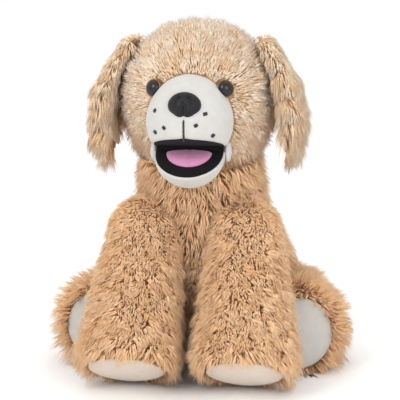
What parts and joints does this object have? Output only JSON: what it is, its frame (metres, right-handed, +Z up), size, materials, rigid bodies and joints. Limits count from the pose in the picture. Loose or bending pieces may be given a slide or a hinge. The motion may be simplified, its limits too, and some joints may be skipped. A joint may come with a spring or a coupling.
{
  "type": "plush dog",
  "caption": "Soft sitting puppy with long tan pile, off-white muzzle and paw pads, hinged open mouth, floppy ears, movable head, legs and tail.",
  "frame": {"origin": "on the floor, in the middle of the toy's footprint box", "axes": "+Z up, the face looks along -Y, +X is the toy's own left"},
  "size_m": [0.2948, 0.358, 0.368],
  "materials": {
    "pile": "long-pile plush, tan",
    "velour": "short-nap velour, off-white",
    "filling": "polyester fibre filling",
    "pouch": "woven pouch of plastic pellets",
    "label": "satin ribbon, blank",
    "tan_thread": "polyester thread",
    "black_thread": "embroidery thread",
    "mouth_cloth": "short-nap cloth, black",
    "tongue_felt": "felt, pink",
    "board": "moulded polypropylene",
    "nose_plastic": "moulded, satin",
    "eye_black": "moulded, glossy",
    "eye_amber": "moulded, glossy",
    "washer": "moulded polypropylene",
    "pin": "nylon rod",
    "webbing": "woven tape"
  },
  "bodies": {
    "torso": {"torso_cover": "pile", "torso_stuffing": "filling", "pellet_pouch": "pouch", "care_label": "label", "back_stitches": "tan_thread"},
    "neck": {"neck_band": "webbing"},
    "head": {"head_cover": "pile", "head_stuffing": "filling", "muzzle_cover": "velour", "muzzle_stuffing": "filling", "mouth_roof_board": "board", "mouth_roof_lining": "mouth_cloth", "jaw_pin": "pin", "nose": "nose_plastic", "nose_washer": "washer", "lip_stitch": "black_thread", "whisker_knots": "black_thread", "eye_left": "eye_black", "eye_right": "eye_black", "eye_rim_left": "eye_amber", "eye_rim_right": "eye_amber", "eye_washer_left": "washer", "eye_washer_right": "washer"},
    "jaw": {"jaw_cover": "velour", "jaw_stuffing": "filling", "mouth_floor_board": "board", "mouth_floor_lining": "mouth_cloth", "tongue": "tongue_felt"},
    "ear_left": {"ear_left_cover": "pile", "ear_left_lining": "velour"},
    "ear_right": {"ear_right_cover": "pile", "ear_right_lining": "velour"},
    "tail": {"tail_cover": "pile", "tail_stuffing": "filling"},
    "front_leg_left": {"front_leg_left_cover": "pile", "front_leg_left_stuffing": "filling", "front_leg_left_paw_pad": "velour"},
    "hind_leg_left": {"hind_leg_left_cover": "pile", "hind_leg_left_stuffing": "filling", "hind_leg_left_sole_pad": "velour"},
    "front_leg_right": {"front_leg_right_cover": "pile", "front_leg_right_stuffing": "filling", "front_leg_right_paw_pad": "velour"},
    "hind_leg_right": {"hind_leg_right_cover": "pile", "hind_leg_right_stuffing": "filling", "hind_leg_right_sole_pad": "velour"}
  },
  "joints": [
    {"name": "head_turn", "type": "hinge", "parent": "torso", "child": "neck", "pos_m": [0, -0.03804, 0.292], "axis": [0, 0, 1], "range_deg": [-30, 30], "stiffness_Nm_per_rad": 1.5},
    {"name": "head_nod", "type": "hinge", "parent": "neck", "child": "head", "pos_m": [0, -0.03804, 0.292], "axis": [-1, 0, 0], "range_deg": [-6, 12], "stiffness_Nm_per_rad": 2.5},
    {"name": "jaw_hinge", "type": "hinge", "parent": "head", "child": "jaw", "pos_m": [0, -0.10004, 0.247], "axis": [-1, 0, 0], "range_deg": [0, 34]},
    {"name": "ear_left_lift", "type": "hinge", "parent": "head", "child": "ear_left", "pos_m": [0.06007, -0.03804, 0.35], "axis": [0, -1, 0], "range_deg": [0, 100]},
    {"name": "ear_right_lift", "type": "hinge", "parent": "head", "child": "ear_right", "pos_m": [-0.06007, -0.03804, 0.35], "axis": [0, 1, 0], "range_deg": [0, 100]},
    {"name": "front_leg_left_swing", "type": "hinge", "parent": "torso", "child": "front_leg_left", "pos_m": [0.06, -0.06304, 0.15], "axis": [-1, 0, 0], "range_deg": [0, 45]},
    {"name": "front_leg_right_swing", "type": "hinge", "parent": "torso", "child": "front_leg_right", "pos_m": [-0.06, -0.06304, 0.15], "axis": [-1, 0, 0], "range_deg": [0, 45]},
    {"name": "hind_leg_left_splay", "type": "hinge", "parent": "torso", "child": "hind_leg_left", "pos_m": [0.08, 0.04896, 0.0444], "axis": [0, 0, 1], "range_deg": [0, 30], "stiffness_Nm_per_rad": 0.3},
    {"name": "hind_leg_right_splay", "type": "hinge", "parent": "torso", "child": "hind_leg_right", "pos_m": [-0.08, 0.04896, 0.0444], "axis": [0, 0, -1], "range_deg": [0, 30], "stiffness_Nm_per_rad": 0.3},
    {"name": "tail_wag", "type": "hinge", "parent": "torso", "child": "tail", "pos_m": [0, 0.14196, 0.07], "axis": [0, -0.766, 0.6428], "range_deg": [-30, 30], "stiffness_Nm_per_rad": 0.05}
  ]
}
